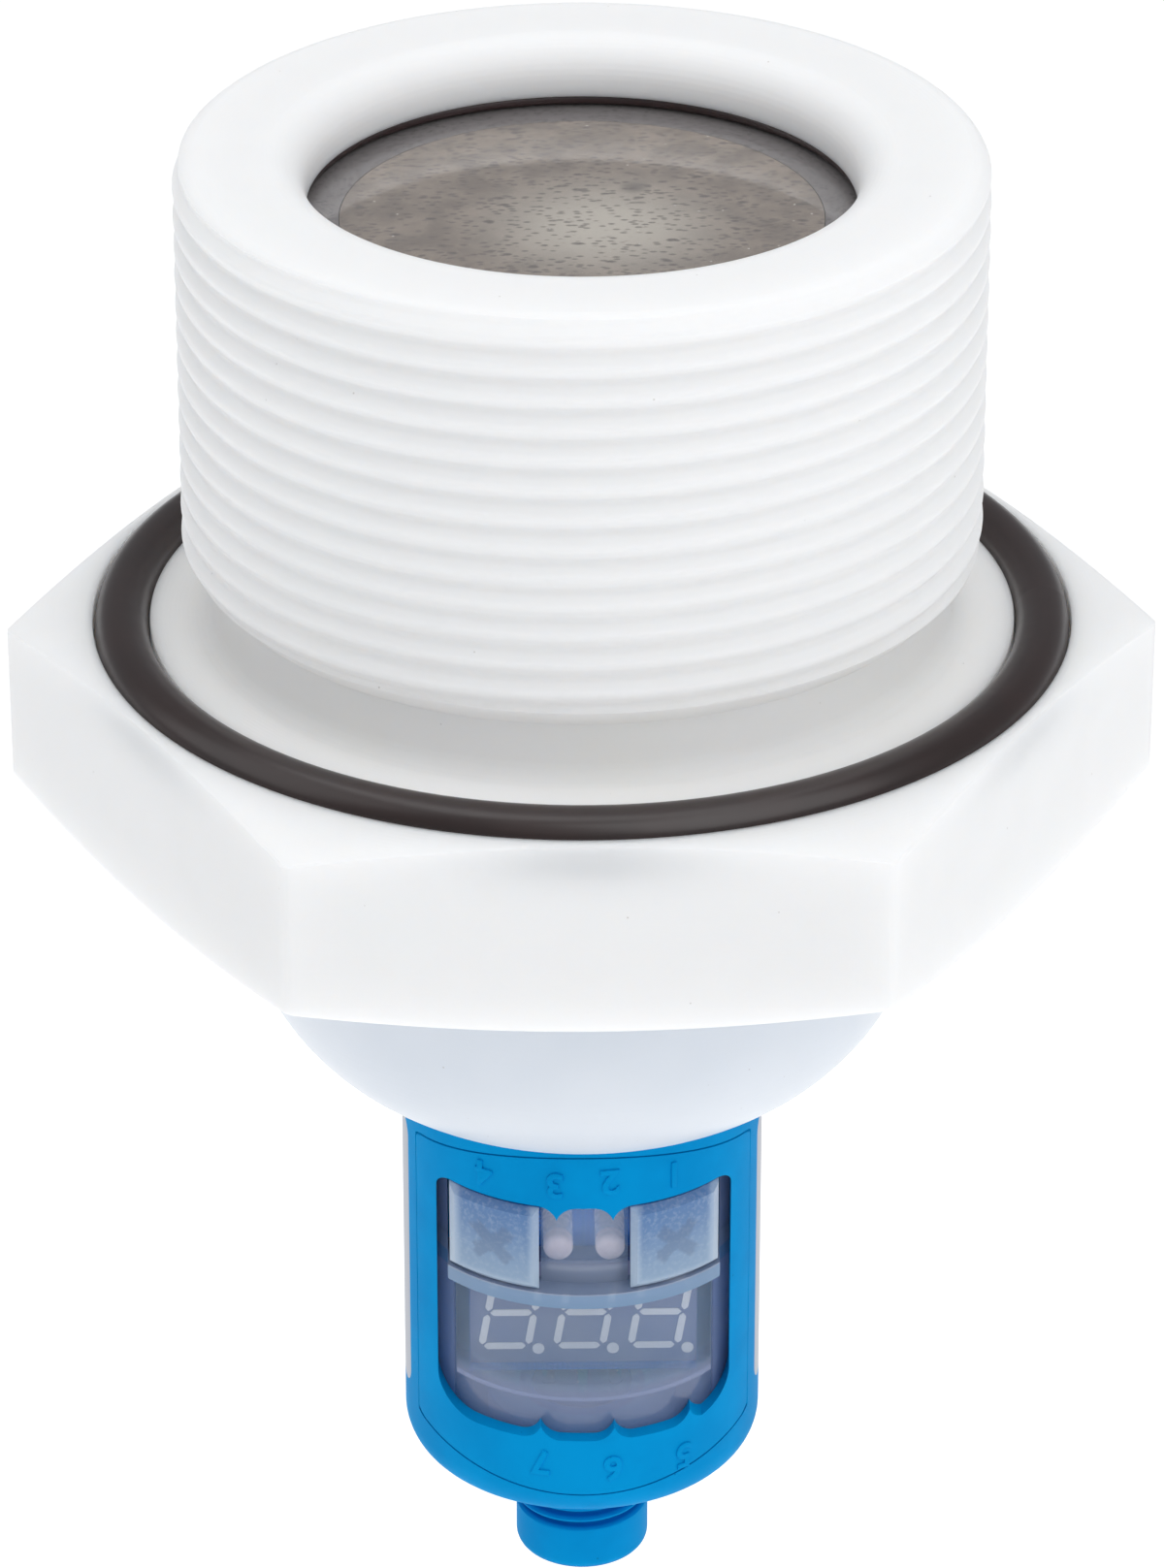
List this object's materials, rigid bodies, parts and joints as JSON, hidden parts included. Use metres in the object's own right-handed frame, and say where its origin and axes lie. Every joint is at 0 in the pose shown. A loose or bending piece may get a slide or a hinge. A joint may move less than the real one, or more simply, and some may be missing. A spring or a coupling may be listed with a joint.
{
  "type": "ultrasonic level sensor",
  "caption": "Screw-in level sensor: recessed sounding face in a threaded neck, sealed hexagon, domed back, and a display head with buttons and a plug.",
  "frame": {"origin": "centre of the hexagon's sealing face, on the axis of the process thread", "axes": "+Z along the process thread towards the sounding face, -Y the way the display looks, -Z the way the plug points"},
  "size_m": [0.0862, 0.075, 0.1207],
  "materials": {
    "white_fluoropolymer": "turned, satin, slightly translucent",
    "seal_rubber": "moulded, dark brown",
    "clear_film": "thin glossy film",
    "speckled_composite": "resin filled with glass beads, speckled",
    "grey_foam": "fine closed foam",
    "cup_aluminium": "turned",
    "silvered_ceramic": "ceramic disc with silver electrodes",
    "cast_resin": "cast, filled",
    "head_blue": "moulded, fine grain",
    "window_clear": "clear moulded, slightly milky",
    "button_frost": "frosted, translucent",
    "display_case": "grey-blue face",
    "segment_pale": "unlit segments",
    "lamp_lens": "diffused lens",
    "board_green": "solder resist",
    "moulded_black": "moulded",
    "tinned_metal": "drawn and plated",
    "contact_gold": "gold plated",
    "lead_red": "insulated lead",
    "nut_nylon": "glass filled",
    "label_silver": "bare silver-white film"
  },
  "bodies": {
    "sensor": {"process_body": "white_fluoropolymer", "process_seal": "seal_rubber", "rear_dome": "white_fluoropolymer", "dome_seal": "seal_rubber", "transducer_seal": "seal_rubber", "face_film": "clear_film", "matching_layer": "speckled_composite", "piezo_disc": "silvered_ceramic", "decoupling_ring": "grey_foam", "transducer_cup": "cup_aluminium", "damping_block": "cast_resin", "clamp_ring": "cup_aluminium", "temperature_probe": "tinned_metal", "transducer_leads": "lead_red", "electronics_housing": "head_blue", "housing_seal": "seal_rubber", "lock_ring": "nut_nylon", "face_bezel": "head_blue", "window_cover": "window_clear", "display_board": "board_green", "display_module": "display_case", "display_segments": "segment_pale", "led_1": "lamp_lens", "led_2": "lamp_lens", "switch_1": "tinned_metal", "switch_2": "tinned_metal", "board_header": "moulded_black", "main_board": "board_green", "pulse_transformer": "moulded_black", "microcontroller": "moulded_black", "storage_capacitor": "tinned_metal", "plug_body": "head_blue", "plug_seal": "seal_rubber", "contact_carrier": "moulded_black", "contact_pins": "contact_gold", "type_label": "label_silver"},
    "key_1": {"button_1": "button_frost"},
    "key_2": {"button_2": "button_frost"}
  },
  "joints": [
    {"name": "button_1_press", "type": "slide", "parent": "sensor", "child": "key_1", "axis": [0, 1, 0], "range_m": [0, 0.0004], "stiffness_N_per_m": 1500, "springref_m": -0.0004},
    {"name": "button_2_press", "type": "slide", "parent": "sensor", "child": "key_2", "axis": [0, 1, 0], "range_m": [0, 0.0004], "stiffness_N_per_m": 1500, "springref_m": -0.0004}
  ]
}
